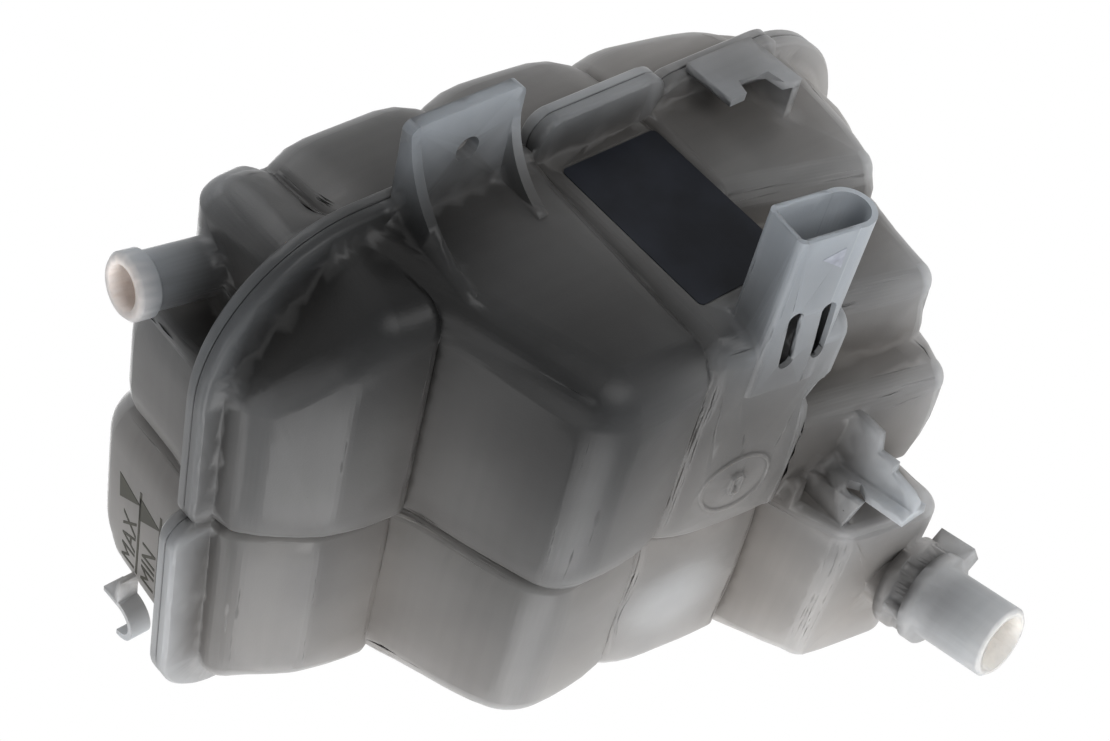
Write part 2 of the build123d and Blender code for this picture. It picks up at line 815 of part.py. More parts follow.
def upper_half():
    """The upper moulding with its hose spigot, hose hook and filler neck."""
    cells = upper_cells(0.0)
    shell = (cells[0] + cells[1:]) & half_space(1)
    spigot, spigot_bore = hose_spigot()
    foot_z = back_cell_z[1][1] - upper_radius
    neck = Pos(neck_x, neck_y, foot_z) * Cylinder(neck_d / 2, neck_top_z - foot_z, align=on_base)
    shell = shell + [flange(1), *spigot, hook(), neck]
    neck_hole = Pos(neck_x, neck_y, foot_z - upper_radius)
    neck_hole = neck_hole * Cylinder(neck_bore / 2, neck_top_z - foot_z + 2 * upper_radius, align=on_base)
    cuts = windows(1, (upper_a_x, upper_b_x, upper_c_x))
    return shell - [*upper_cells(wall), *cuts, spigot_bore, neck_hole]


def turned(points):
    """Solid of revolution about Z from an outline of (radius, height) points."""
    return revolve(Plane.XZ * Polygon(*points, align=None), Axis.Z)


def cap_pieces():
    """The screw cap's pieces, laid out on the neck's axis with the neck's rim at z = 0."""
    plug_r = insert_plug_d / 2
    bore_r = plug_r - insert_plug_wall
    disc_r = insert_disc_d / 2
    floor_z = -insert_plug_length
    top_z = insert_hub + insert_disc
    plate_r = bore_r + plate_ledge
    plate_z = top_z - spring_plate
    insert = turned([
        (valve_port_d / 2, floor_z),
        (plug_r, floor_z),
        (plug_r, 0),
        (insert_hub_d / 2, 0),
        (insert_hub_d / 2, insert_hub),
        (disc_r, insert_hub),
        (disc_r, top_z),
        (plate_r, top_z),
        (plate_r, plate_z),
        (bore_r, plate_z),
        (bore_r, floor_z + valve_floor),
        (valve_port_d / 2, floor_z + valve_floor),
    ])
    groove = Cylinder(plug_r + seal_width, seal_width) - Cylinder(seal_groove_d / 2, seal_width)
    insert = insert - Pos(0, 0, -seal_drop) * groove
    seal_low = -seal_drop - seal_width / 2
    seal_high = -seal_drop + seal_width / 2
    seal = turned([
        (seal_groove_d / 2, seal_low),
        (seal_d / 2 - seal_ease, seal_low),
        (seal_d / 2, seal_low + seal_ease),
        (seal_d / 2, seal_high - seal_ease),
        (seal_d / 2 - seal_ease, seal_high),
        (seal_groove_d / 2, seal_high),
    ])

    skirt_in = neck_d / 2 + thread_gap
    skirt_out = skirt_in + cap_skirt_wall
    ceiling = top_z + cap_gap
    shell = turned([
        (skirt_in, -cap_skirt),
        (skirt_out, -cap_skirt),
        (skirt_out, ceiling),
        (skirt_out - cap_top, ceiling + cap_top),
        (0, ceiling + cap_top),
        (0, ceiling),
        (disc_r + cap_gap, ceiling),
        (disc_r + cap_gap, insert_hub - cap_gap),
        (insert_hub_d / 2 + cap_gap, insert_hub - cap_gap),
        (insert_hub_d / 2 + cap_gap, cap_gap),
        (skirt_in, cap_gap),
    ])
    rib = Cylinder(cap_rib_d / 2, cap_skirt + ceiling, align=on_base)
    ribs = [Pos(0, 0, -cap_skirt) * place * rib for place in PolarLocations(skirt_out, cap_ribs)]
    shell = shell + ribs

    seat_z = floor_z + valve_floor
    valve = turned([
        (vacuum_stem_d / 2 + cap_gap, seat_z),
        (valve_d / 2, seat_z),
        (valve_d / 2, seat_z + valve_thick),
        (spring_d / 2 - 2 * spring_wire, seat_z + valve_thick),
        (spring_d / 2 - 2 * spring_wire, seat_z + 2 * valve_thick),
        (vacuum_knob_d / 2 + cap_gap, seat_z + 2 * valve_thick),
        (vacuum_knob_d / 2 + cap_gap, seat_z + valve_thick),
        (vacuum_stem_d / 2 + cap_gap, seat_z + valve_thick),
    ])
    knob_z = seat_z + valve_thick + vacuum_travel + cap_gap
    vacuum = turned([
        (0, seat_z - vacuum_thick),
        (vacuum_d / 2, seat_z - vacuum_thick),
        (vacuum_d / 2, seat_z),
        (vacuum_stem_d / 2, seat_z),
        (vacuum_stem_d / 2, knob_z),
        (vacuum_knob_d / 2, knob_z),
        (vacuum_knob_d / 2, knob_z + vacuum_thick),
        (0, knob_z + vacuum_thick),
    ])
    return {
        "cap_shell": shell,
        "cap_insert": insert,
        "neck_seal": seal,
        "spring_plate": spring_cover(plate_r, plate_z),
        "pressure_valve": valve,
        "vacuum_valve": vacuum,
        "valve_spring": coil(seat_z + valve_thick, plate_z),
    }


def spring_cover(radius, z):
    """Retaining disc in the insert's top, vented, that the spring bears on."""
    disc = Pos(0, 0, z) * Cylinder(radius, spring_plate, align=on_base)
    vent = Cylinder(plate_vent_d / 2, 4 * spring_plate)
    vents = [Pos(0, 0, z) * place * vent for place in PolarLocations(radius / 2, plate_vents)]
    return disc - vents


def coil(z_low, z_high):
    """Compression spring of square wire between two levels, just touching both."""
    height = z_high - z_low - spring_wire
    path = Helix(height / spring_turns, height, (spring_d - spring_wire) / 2)
    path = Pos(0, 0, z_low + spring_wire / 2) * path
    start = Plane(origin=path @ 0, x_dir=(1, 0, 0), z_dir=path % 0)
    return sweep(start * Rectangle(spring_wire, spring_wire), path=path, is_frenet=True)


def float_pieces():
    """The level float with its ring magnet, and the retainer on top of the post."""
    bore_r = post_d / 2 + slide_gap
    slot_r = magnet_bore / 2
    body = turned([
        (bore_r, 0),
        (slot_r, 0),
        (slot_r, magnet_height),
        (magnet_d / 2, magnet_height),
        (magnet_d / 2, 0),
        (float_d / 2 - float_ease, 0),
        (float_d / 2, float_ease),
        (float_d / 2, float_height - float_ease),
        (float_d / 2 - float_ease, float_height),
        (bore_r, float_height),
    ])
    magnet = Cylinder(magnet_d / 2, magnet_height, align=on_base)
    magnet = magnet - Cylinder(slot_r, magnet_height, align=on_base)
    retainer = Cylinder(retainer_d / 2, retainer_height, align=on_base)
    retainer = retainer - Cylinder(post_d / 2, retainer_height, align=on_base)
    seat = Pos(float_x, float_y, float_seat_z)
    top = Pos(float_x, float_y, post_top_z - retainer_height)
    return {"level_float": seat * body, "float_magnet": seat * magnet, "float_retainer": top * retainer}


def build_pieces():
    """All pieces by name, moved so that the ear's bolt hole is the origin."""
    recess_floor = label_plane().offset(-recess_depth)
    pieces = {
        "lower_half": lower_half(),
        "upper_half": upper_half(),
        "label": extrude(recess_floor * label_outline(0.0), amount=label_thick),
    }
    pieces.update(float_pieces())
    for name, piece in cap_pieces().items():
        pieces[name] = Pos(neck_x, neck_y, neck_top_z) * piece
    to_ear = Pos(-ear_hole_x, -ear_hole_y, flange_thick)
    return {name: to_ear * piece for name, piece in pieces.items()}


os.makedirs("parts", exist_ok=True)
for name, piece in build_pieces().items():
    export_step(piece, f"parts/{name}.step")
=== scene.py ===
import math
from itertools import product

import bmesh
import bpy
import numpy as np
from mathutils import Matrix, Vector
from mathutils.bvhtree import BVHTree


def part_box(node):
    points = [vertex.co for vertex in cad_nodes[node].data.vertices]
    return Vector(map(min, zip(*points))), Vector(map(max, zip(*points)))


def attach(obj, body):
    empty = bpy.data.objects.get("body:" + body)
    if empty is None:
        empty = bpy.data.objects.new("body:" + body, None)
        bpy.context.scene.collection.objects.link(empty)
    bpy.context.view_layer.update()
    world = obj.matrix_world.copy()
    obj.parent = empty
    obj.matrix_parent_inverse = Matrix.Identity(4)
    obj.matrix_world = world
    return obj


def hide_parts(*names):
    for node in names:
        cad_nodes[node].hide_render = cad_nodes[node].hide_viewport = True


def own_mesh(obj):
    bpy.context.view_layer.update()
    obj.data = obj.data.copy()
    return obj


# Looks of the coolant expansion tank: milky moulded plastic that lets light through its walls.
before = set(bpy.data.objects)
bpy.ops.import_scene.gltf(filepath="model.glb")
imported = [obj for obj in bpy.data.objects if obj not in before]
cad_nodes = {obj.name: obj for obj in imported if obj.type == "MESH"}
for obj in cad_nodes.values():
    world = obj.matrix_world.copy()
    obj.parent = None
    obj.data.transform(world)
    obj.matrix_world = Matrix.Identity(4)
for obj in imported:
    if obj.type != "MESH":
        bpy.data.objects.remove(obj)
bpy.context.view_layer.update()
MM = 0.001

# Where things are on the tank, in millimetres from the ear's bolt hole
weld_z = 4.6
same_point = 0.004
neck_x = 56.2
neck_y = 164.7
neck_top_z = 76.6
neck_d = 44.0

# Moulded plastic: fineness of the dressed halves, and how light goes through their walls, for the light
# and shade painted into their colour
skin_edge = 8.0
skin_passes = 9
sharp_angle = 38.0
light_step = 2.4
light_per_mm = 0.7
ray_apart = 0.02
ray_onward = 0.01
ray_aside = (0.503, 0.497)
wall_share = 0.3
grid_end = 1.001
light_inset = 2.0
light_spread = 0.7
light_blur = 1
# The far side is where the photograph's light comes from, behind the tank; it stays fixed to the tank
far_side = Vector((0.55, 0.71, 0.44))
bulk_reach = 5
tone_passes = 6

# Rounder edges of the pillow cells, and the parts with crisp edges that are left as they are
round_reach = 4
round_from = 0.45
round_gain = 20.0
round_most = 3.0
wall_thick = 2.6
look_ahead = 4.0
inner_bulk = 0.6
least_slope = 1e-6
inner_clear = 1.6
groove_width = 17.0
lower_groove_depth = 3.0
upper_groove_depth = 5.0
left_column_x = -40.0
lower_grooves = ((0, -30.3), (0, 32.7), (0, 81.2), (1, 121.2))
upper_grooves = ((0, -35.8), (0, 25.7), (0, 86.2), (1, 121.2))
left_grooves = ((1, 60.7),)
keep_rim = 9.0
keep_fade = 8.0
crisp_parts = (
    ((-30, -25, -60), (26, 24, 12)),
    ((36, -25, -82), (84, 30, 2)),
    ((40, -20, -110), (82, 52, -68)),
    ((94, 0, -35), (132, 30, 12)),
    ((84, 74, -145), (118, 120, -88)),
    ((100, 125, -185), (150, 190, -120)),
    ((-96, 34, 24), (-40, 64, 58)),
    ((-92, 196, 26), (-76, 224, 52)),
    ((26, 134, 50), (88, 196, 90)),
)

# Tone of the plastic, with painted light and shade: painted light through the walls and toward the far
# side, painted shade over the bulk nearby
tone_level = 0.48
tone_power = 0.58
far_side_painted_light = 10.4
far_side_light_most = 0.13
bulk_painted_shade = 1.02
tone_most = 0.50
tone_knee = 4
least_passage = 0.002
# Painted glow in thin parts, where the bulk nearby is small
thin_bulk = 0.32
thin_painted_glow = 1.00
# Dark weld seam where the halves join
seam_width = 0.35
seam_dark = 0.7
# Tint: bluer in thin parts and on the near side, warmer toward the far side and over the bulk
blue_level = 0.18
blue_far_drop = 0.7
blue_bulk = 0.40
blue_most = 0.2

# Soft shades beside the ear and on the middle cell's brow, where the photograph is darkest:
# middle, reach and depth of each
front_shades = (
    ((-43, 30, -23), 20.0, 1.4),
    ((-13, 46, -72), 22.0, 1.4),
)

# Bores that glow with the light behind them: mouth, way out, length, diameter and colour
bore_ease = 0.3
bore_lip = 0.4
glowing_bores = (
    ((-91.7, 46.7, 40.4), (-0.990, -0.130, 0.052), 48.0, 14.6, (0.95, 0.86, 0.80)),
    ((127.2, 144.8, -176.7), (0.0, -0.225, -0.974), 60.0, 21.5, (0.95, 0.92, 0.87)),
)

# Plastic's clouds, streaks, specks and relief: scales in blotches to a metre, reliefs in metres
cloud_scale = 22.0
cloud_shade = (0.80, 0.80, 0.81)
cloud_share = 0.7
streak_scale = 9.0
streak_stretch = 26.0
streak_shade = (0.45, 0.45, 0.47)
streak_share = 0.14
speck_scale = 95.0
speck_dark = 0.75
speck_edge = (0.028, 0.04)
speck_patch_scale = 60.0
speck_patch_edge = (0.62, 0.64)
speck_colour = (0.03, 0.028, 0.025)
gloss_scale = 45.0
plastic_rough = (0.30, 0.44)
wave_scale = 70.0
wave_share = 3.0
plastic_grain = 1500.0
plastic_relief = 0.00006

# Grain, wear and gloss of the other finishes
fine_relief = 0.00003
label_wear_scale = 55.0
label_grain = 2200.0
label_dark = (0.008, 0.009, 0.012)
label_worn = (0.016, 0.018, 0.024)
label_rough = (0.34, 0.55)
rub_scale = 130.0
rub_paler = 2.2
spark_grain = 1600.0
tool_mark_scale = 260.0
tool_mark_stretch = 9.0
metal_dull = 0.62
foam_cells = 1100.0
foam_dark = (0.50, 0.49, 0.45)
foam_pale = (0.66, 0.65, 0.61)
foam_rough = (0.55, 0.8)
foam_relief = 0.0001
ink_scale = 240.0
ink_paler = 1.7
ink_rough = (0.4, 0.6)

# Camera of the photograph, in millimetres, with the picture's size in pixels
camera_place = (-341.6, -380.8, -313.1)
camera_right = (0.7334, -0.1897, -0.6528)
camera_up = (0.3801, -0.6817, 0.6251)
camera_back = (-0.5636, -0.7066, -0.4278)
picture_width = 1110.0
camera_focal = 2000.0
film_width = 36.0

# Thread on the filler neck
thread_pitch = 5.0
thread_turns = 2.6
thread_height = 0.8
thread_base = 2.4
thread_crest = 1.0
thread_low = 3.4
thread_middle = 0.4
helix_steps = 72
section_turn = math.radians(-90.0)
thread_tone = (0.40, 0.395, 0.385)

# Spring of the pressure valve
spring_d = 15.0
spring_wire = 1.4
spring_turns = 3.0

# Level marks on the left wall of the back cell, and the arrow on the sensor pocket
mark_letters = 12.0
mark_rise = 0.12
mark_sink = 0.25
mark_line = 1.1
mark_line_points = 9
mark_ray = 30.0
mark_start_y = 191.5
mark_end_y = 147.5
mark_lift = 1.6
mark_wall_x = -81.0
mark_arrow = ((150.0, 13.4), (162.0, 12.8), (154.5, 0.0))
level_marks = (("MAX", 38.7), ("MIN", 26.0))
pocket_arrow = ((53.6, -8.2), (61.6, -10.6), (62.4, -2.4))
pocket_face_z = -97.0
level_ink = (0.030, 0.029, 0.022)
pocket_ink = (0.20, 0.21, 0.24)

# Light on the object, in metres and watts
world_light = 0.30
floor_z = -1.1
floor_reach = 6.0
floor_glow = 0.52
floor_rough = 0.8
floor_dark = (0.84, 0.84, 0.84)
floor_pale = (0.88, 0.88, 0.88)
white = (1.0, 1.0, 1.0)
lamp_target = Vector((0.045, 0.1, -0.04))
lamp_size = 0.7
lamps = (
    ("light_table", (-0.36, 0.80, -0.72), 6.5),
    ("front_below", (-0.1, -0.75, -0.75), 6.5),
    ("top_front", (-0.1, -0.6, 0.9), 3.9),
    ("left_below", (-0.95, 0.15, -0.45), 3.2),
    ("left_back", (-0.85, 0.75, 0.1), 2.6),
    ("right_below", (0.85, -0.1, -0.65), 2.6),
    ("top_back", (0.4, 0.9, 0.8), 3.0),
)


def socket(source):
    """The first output of a node, or the socket itself."""
    return source.outputs[0] if hasattr(source, "outputs") else source


def add(tree, kind, feeds=None, **settings):
    """A node with its settings and its inputs, given as values or as the nodes that feed them."""
    made = tree.nodes.new(kind)
    for name, value in settings.items():
        setattr(made, name, value)
    for name, source in (feeds or {}).items():
        if isinstance(source, (bpy.types.Node, bpy.types.NodeSocket)):
            tree.links.new(socket(source), made.inputs[name])
        else:
            made.inputs[name].default_value = source
    return made


def finish(name, **constants):
    """A new node material, with the values that are the same all over it."""
    made = bpy.data.materials.new(name)
    made.use_nodes = True
    shader = made.node_tree.nodes["Principled BSDF"]
    for key, value in constants.items():
        shader.inputs[key.replace("_", " ")].default_value = value
    return made, made.node_tree, shader


def ramp(tree, source, stops):
    """A colour ramp through the given stops of place and colour."""
    made = add(tree, "ShaderNodeValToRGB", {"Fac": source})
    bar = made.color_ramp
    while len(bar.elements) < len(stops):
        bar.elements.new(0.5)
    for element, (place, colour) in zip(bar.elements, stops):
        element.position = place
        element.color = (*colour, 1.0)
    return made


def spread(tree, source, low, high, from_low=0.0, from_high=1.0):
    """A value taken from one range to another."""
    feeds = {"Value": source, "From Min": from_low, "From Max": from_high, "To Min": low, "To Max": high}
    return add(tree, "ShaderNodeMapRange", feeds)


def grain(tree, scale, detail=3.0, stretch=(1.0, 1.0, 1.0)):
    """Noise on the piece's own coordinates, with the number of blotches to a metre."""
    place = add(tree, "ShaderNodeTexCoord")
    turned = add(tree, "ShaderNodeMapping", {"Vector": place.outputs["Object"], "Scale": stretch})
    made = add(tree, "ShaderNodeTexNoise", {"Vector": turned, "Scale": scale, "Detail": detail})
    return made.outputs["Factor"] if "Factor" in made.outputs else made.outputs["Fac"]


def math_node(tree, operation, first, second=0.0):
    """One sum, product or other step of arithmetic on two values."""
    made = tree.nodes.new("ShaderNodeMath")
    made.operation = operation
    for place, source in enumerate((first, second)):
        if isinstance(source, (bpy.types.Node, bpy.types.NodeSocket)):
            tree.links.new(socket(source), made.inputs[place])
        else:
            made.inputs[place].default_value = source
    return made


def tint(tree, factor, first, second, blend="MIX"):
    """Two colours mixed by a factor."""
    made = tree.nodes.new("ShaderNodeMix")
    made.data_type = "RGBA"
    made.blend_type = blend
    for place, source in ((0, factor), (6, first), (7, second)):
        if isinstance(source, (bpy.types.Node, bpy.types.NodeSocket)):
            tree.links.new(socket(source), made.inputs[place])
        else:
            made.inputs[place].default_value = source if place == 0 else (*source, 1.0)
    return made.outputs[2]


def bumped(tree, shader, height, distance, strength=1.0):
    """Relief on a shader from a height."""
    feeds = {"Height": height, "Distance": distance, "Strength": strength}
    made = add(tree, "ShaderNodeBump", feeds)
    tree.links.new(made.outputs["Normal"], shader.inputs["Normal"])


def milky_plastic():
    """Natural polypropylene, its colour carrying painted light and shade: painted shade over the hollow
    middle, paler beige toward the far side, pale blue in thin ribs.
    """
    made, tree, shader = finish(
        "milky_polypropylene_painted_light",
        Subsurface_Weight=0.12,
        Subsurface_Radius=(1.0, 0.86, 0.72),
        Subsurface_Scale=0.003,
        Specular_IOR_Level=0.16,
    )
    # The colour attribute carries the painted light and shade of the walls
    tone = add(tree, "ShaderNodeAttribute", attribute_name="wall_colour_and_painted_light").outputs["Color"]
    cloudy = grain(tree, cloud_scale, 3.0)
    cloud = ramp(tree, cloudy, ((0.3, cloud_shade), (0.7, white)))
    colour = tint(tree, cloud_share, tone, cloud, "MULTIPLY")
    streaky = grain(tree, streak_scale, 4.0, (1.0, 1.0, streak_stretch))
    drawn = ramp(tree, streaky, ((0.3, streak_shade), (0.7, white)))
    colour = tint(tree, streak_share, colour, drawn, "MULTIPLY")
    place = add(tree, "ShaderNodeTexCoord")
    specks = add(tree, "ShaderNodeTexVoronoi", {"Vector": place.outputs["Object"], "Scale": speck_scale})
    dots = spread(tree, specks.outputs["Distance"], speck_dark, 0.0, *speck_edge)
    sparse = spread(tree, grain(tree, speck_patch_scale, 1.0), 0.0, 1.0, *speck_patch_edge)
    colour = tint(tree, math_node(tree, "MULTIPLY", dots, sparse), colour, speck_colour)
    tree.links.new(colour, shader.inputs["Base Color"])
    rough = spread(tree, grain(tree, gloss_scale, 4.0), *plastic_rough)
    tree.links.new(socket(rough), shader.inputs["Roughness"])
    waves = math_node(tree, "MULTIPLY", grain(tree, wave_scale, 2.0), wave_share)
    relief = math_node(tree, "ADD", waves, grain(tree, plastic_grain, 2.0))
    bumped(tree, shader, relief, plastic_relief, 0.6)
    return made


def label_film():
    """Plain blue-black film, with a fine grain and a little wear."""
    made, tree, shader = finish("label_film", Specular_IOR_Level=0.08)
    worn = grain(tree, label_wear_scale, 6.0)
    colour = ramp(tree, worn, ((0.35, label_dark), (0.75, label_worn)))
    tree.links.new(socket(colour), shader.inputs["Base Color"])
    tree.links.new(socket(spread(tree, worn, *label_rough)), shader.inputs["Roughness"])
    bumped(tree, shader, grain(tree, label_grain, 2.0), fine_relief, 0.5)
    return made


def moulded_black(name, shade, rough_low, rough_high, bite):
    """Black moulded plastic or rubber, spark-eroded, with paler rubbed places."""
    made, tree, shader = finish(name, Specular_IOR_Level=0.45)
    rubbed = grain(tree, rub_scale, 6.0)
    pale = tuple(c * rub_paler for c in shade)
    colour = ramp(tree, rubbed, ((0.4, shade), (0.8, pale)))
    tree.links.new(socket(colour), shader.inputs["Base Color"])
    tree.links.new(socket(spread(tree, rubbed, rough_low, rough_high)), shader.inputs["Roughness"])
    bumped(tree, shader, grain(tree, spark_grain, 3.0), bite, 0.8)
    return made


def turned_metal(name, shade, rough_low, rough_high):
    """Metal with fine tool marks and a slightly dulled skin."""
    made, tree, shader = finish(name, Metallic=1.0)
    marks = grain(tree, tool_mark_scale, 5.0, (1.0, 1.0, tool_mark_stretch))
    dull = tuple(c * metal_dull for c in shade)
    colour = ramp(tree, marks, ((0.3, dull), (0.65, shade)))
    tree.links.new(socket(colour), shader.inputs["Base Color"])
    tree.links.new(socket(spread(tree, marks, rough_low, rough_high)), shader.inputs["Roughness"])
    bumped(tree, shader, marks, fine_relief, 0.5)
    return made


def float_foam():
    """Pale closed-cell foam of the level float."""
    made, tree, shader = finish("float_foam", Specular_IOR_Level=0.3)
    place = add(tree, "ShaderNodeTexCoord")
    cells = add(tree, "ShaderNodeTexVoronoi", {"Vector": place.outputs["Object"], "Scale": foam_cells})
    colour = ramp(tree, cells.outputs["Distance"], ((0.1, foam_dark), (0.6, foam_pale)))
    tree.links.new(socket(colour), shader.inputs["Base Color"])
    rough = spread(tree, cells.outputs["Distance"], *foam_rough)
    tree.links.new(socket(rough), shader.inputs["Roughness"])
    bumped(tree, shader, cells.outputs["Distance"], foam_relief, 0.6)
    return made


def mark_ink(name, shade):
    """Ink of a printed mark, unevenly laid."""
    made, tree, shader = finish(name, Specular_IOR_Level=0.16)
    uneven = grain(tree, ink_scale, 5.0)
    pale = tuple(c * ink_paler for c in shade)
    colour = ramp(tree, uneven, ((0.3, shade), (0.75, pale)))
    tree.links.new(socket(colour), shader.inputs["Base Color"])
    tree.links.new(socket(spread(tree, uneven, *ink_rough)), shader.inputs["Roughness"])
    return made


def ray_tree(mesh):
    """A tree for rays against a piece's own mesh."""
    points = [v.co.copy() for v in mesh.vertices]
    return BVHTree.FromPolygons(points, [tuple(p.vertices) for p in mesh.polygons])


def crossings(tree, start, reach):
    """Places along +X where a ray goes into and out of a solid."""
    found = []
    place = start.copy()
    along = Vector((1.0, 0.0, 0.0))
    while True:
        hit = tree.ray_cast(place, along, reach)[0]
        if hit is None:
            return found
        if not found or hit.x - found[-1] > ray_apart * MM:
            found.append(hit.x)
        place = hit + along * (ray_onward * MM)


def plastic_grid(trees, low, counts, step):
    """Share of plastic in each cube of a grid over the tank."""
    filled = np.zeros(counts)
    reach = counts[0] * step
    for j, k in product(range(counts[1]), range(counts[2])):
        across = low[1] + (j + ray_aside[0]) * step
        up = low[2] + (k + ray_aside[1]) * step
        start = Vector((low[0], across, up))
        for tree in trees:
            found = crossings(tree, start, reach)
            for enter, leave in zip(found[::2], found[1::2]):
                first = int((enter - low[0]) / step)
                last = min(int((leave - low[0]) / step), counts[0] - 1)
                edges = low[0] + np.arange(first, last + 2) * step
                part = np.minimum(leave, edges[1:]) - np.maximum(enter, edges[:-1])
                filled[first:last + 1, j, k] += np.clip(part, 0.0, step) / step
    return np.clip(filled, 0.0, 1.0)


def plastic_ahead(filled, way):
    """Plastic met from each cube to the outside, in cubes, along one of the grid's ways."""
    axis = next(i for i in range(3) if way[i])
    planes = np.moveaxis(filled, axis, 0)
    aside = [-way[i] for i in range(3) if i != axis]
    met = np.zeros_like(planes)
    last = len(planes) - 1
    order = range(last - 1, -1, -1) if way[axis] > 0 else range(1, last + 1)
    for i in order:
        ahead = i + way[axis]
        met[i] = np.roll(met[ahead] + planes[ahead], aside, axis=(0, 1))
        met[i][[0, -1], :] = 0.0
        met[i][:, [0, -1]] = 0.0
    return np.moveaxis(met, 0, axis)


def light_grid(filled, step):
    """Light that reaches each cube through the walls from the far side."""
    total = np.zeros_like(filled)
    share = 0.0
    for way in product((-1, 0, 1), repeat=3):
        toward = Vector(way)
        facing = toward.dot(far_side)
        if facing > 0.0:
            sky = (facing / toward.length) ** light_spread
            depth = plastic_ahead(filled, way) * toward.length * step / MM
            total += sky * np.exp(-light_per_mm * depth)
            share += sky
    light = total / share
    for _ in range(light_blur):
        for axis in range(3):
            light = (np.roll(light, 1, axis) + light + np.roll(light, -1, axis)) / 3.0
    return light


def bulk_grid(filled):
    """The tank's bulk, hollow and plastic, as ones and noughts."""
    bulk = np.ones(filled.shape, bool)
    wall = filled > wall_share
    for axis in range(3):
        after = np.maximum.accumulate(wall, axis)
        before = np.flip(np.maximum.accumulate(np.flip(wall, axis), axis), axis)
        bulk &= after & before
    return bulk.astype(float)


def softened(grid, reach):
    """Mean of a grid around each cube, taken twice."""
    shifts = range(-reach, reach + 1)
    for axis in (0, 1, 2, 0, 1, 2):
        grid = sum(np.roll(grid, s, axis) for s in shifts) / len(shifts)
    return grid


def light_in(halves):
    """Grids of the light, the bulk and the edges in the halves, with their low corner."""
    corners = np.array([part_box(h) for h in halves])
    margin = (2 * bulk_reach + 1) * light_step * MM
    low = corners[:, 0].min(0) - margin
    size = corners[:, 1].max(0) + margin - low
    counts = tuple(int(n) for n in np.ceil(size / (light_step * MM)))
    filled = plastic_grid([ray_tree(cad_nodes[h].data) for h in halves], low, counts, light_step * MM)
    bulk = bulk_grid(filled)
    near, edges = softened(bulk, bulk_reach), softened(bulk, round_reach)
    return light_grid(filled, light_step * MM), bulk, near, edges, low


def grid_at(grid, low, points):
    """A grid's value at some points, between its cubes' middles."""
    place = (points - low) / (light_step * MM) - 0.5
    place = np.clip(place, 0.0, np.array(grid.shape) - grid_end)
    whole = place.astype(int)
    part = place - whole
    value = np.zeros(len(points))
    for corner in product((0, 1), repeat=3):
        at = whole + np.array(corner)
        weight = np.prod(np.where(corner, part, 1.0 - part), axis=1)
        value += weight * grid[at[:, 0], at[:, 1], at[:, 2]]
    return value


def wall_colours_with_painted_light(points, normals, light, nearby, low):
    """Colour of the plastic at each point of a half, with painted light and shade in it."""
    # Painted light: the light that comes through the walls from the far side
    passage = grid_at(light, low, points - normals * light_inset * MM)
    near = grid_at(nearby, low, points)
    # Painted light toward the far side, and painted shade over the bulk nearby
    far = np.minimum(points @ np.array(far_side), far_side_light_most)
    glow = far_side_painted_light * far - bulk_painted_shade * near
    # Painted glow in thin parts
    glow += thin_painted_glow * np.maximum(0.0, 1.0 - near / thin_bulk)
    # Painted shades beside the ear and on the middle cell's brow
    for middle, reach, depth in front_shades:
        away = ((points / MM - np.array(middle)) ** 2).sum(1)
        glow -= depth * np.exp(-away / (2.0 * reach ** 2))
    tone = tone_level * np.maximum(passage, least_passage) ** tone_power * np.exp(glow)
    tone = tone / (1.0 + (tone / tone_most) ** tone_knee) ** (1.0 / tone_knee)
    seam = np.exp(-((points[:, 2] / MM - weld_z) / seam_width) ** 2)
    tone *= 1.0 - seam_dark * seam
    # Tint: bluer in thin parts and on the near side
    blue = np.clip(blue_level - blue_far_drop * far - blue_bulk * near, -blue_most, blue_most)
    red_part, blue_part = tone * np.exp(-0.5 * blue), tone * np.exp(0.5 * blue)
    tones = np.stack([red_part, tone, blue_part, np.ones(len(points))], 1)
    # Painted glow: the bores' insides painted pale, as lit from behind
    for mouth, way, length, diameter, colour in glowing_bores:
        along = (points / MM - np.array(mouth)) @ np.array(way)
        off = points / MM - np.array(mouth) - along[:, None] * np.array(way)
        inside = np.linalg.norm(off, axis=1) < 0.5 * diameter + bore_ease
        inside &= (along < bore_lip) & (along > -length)
        tones[inside, :3] = colour
    return tones


def halve_long_edges(bm, longest):
    """Cuts the longest edge of each face in two where it is too long, a few times over."""
    for _ in range(skin_passes):
        cut = set()
        for face in bm.faces:
            edge = max(face.edges, key=bmesh.types.BMEdge.calc_length)
            if edge.calc_length() > longest:
                cut.add(edge)
        if not cut:
            return
        bmesh.ops.subdivide_edges(bm, edges=list(cut), cuts=1)
        bmesh.ops.triangulate(bm, faces=[f for f in bm.faces if len(f.verts) > 3])


def inward_at(edges, low, points):
    """The way into the tank's bulk at each point."""
    slope = np.stack([grid_at(s, low, points) for s in np.gradient(edges)], 1)
    return slope / np.maximum(np.linalg.norm(slope, axis=1, keepdims=True), least_slope)


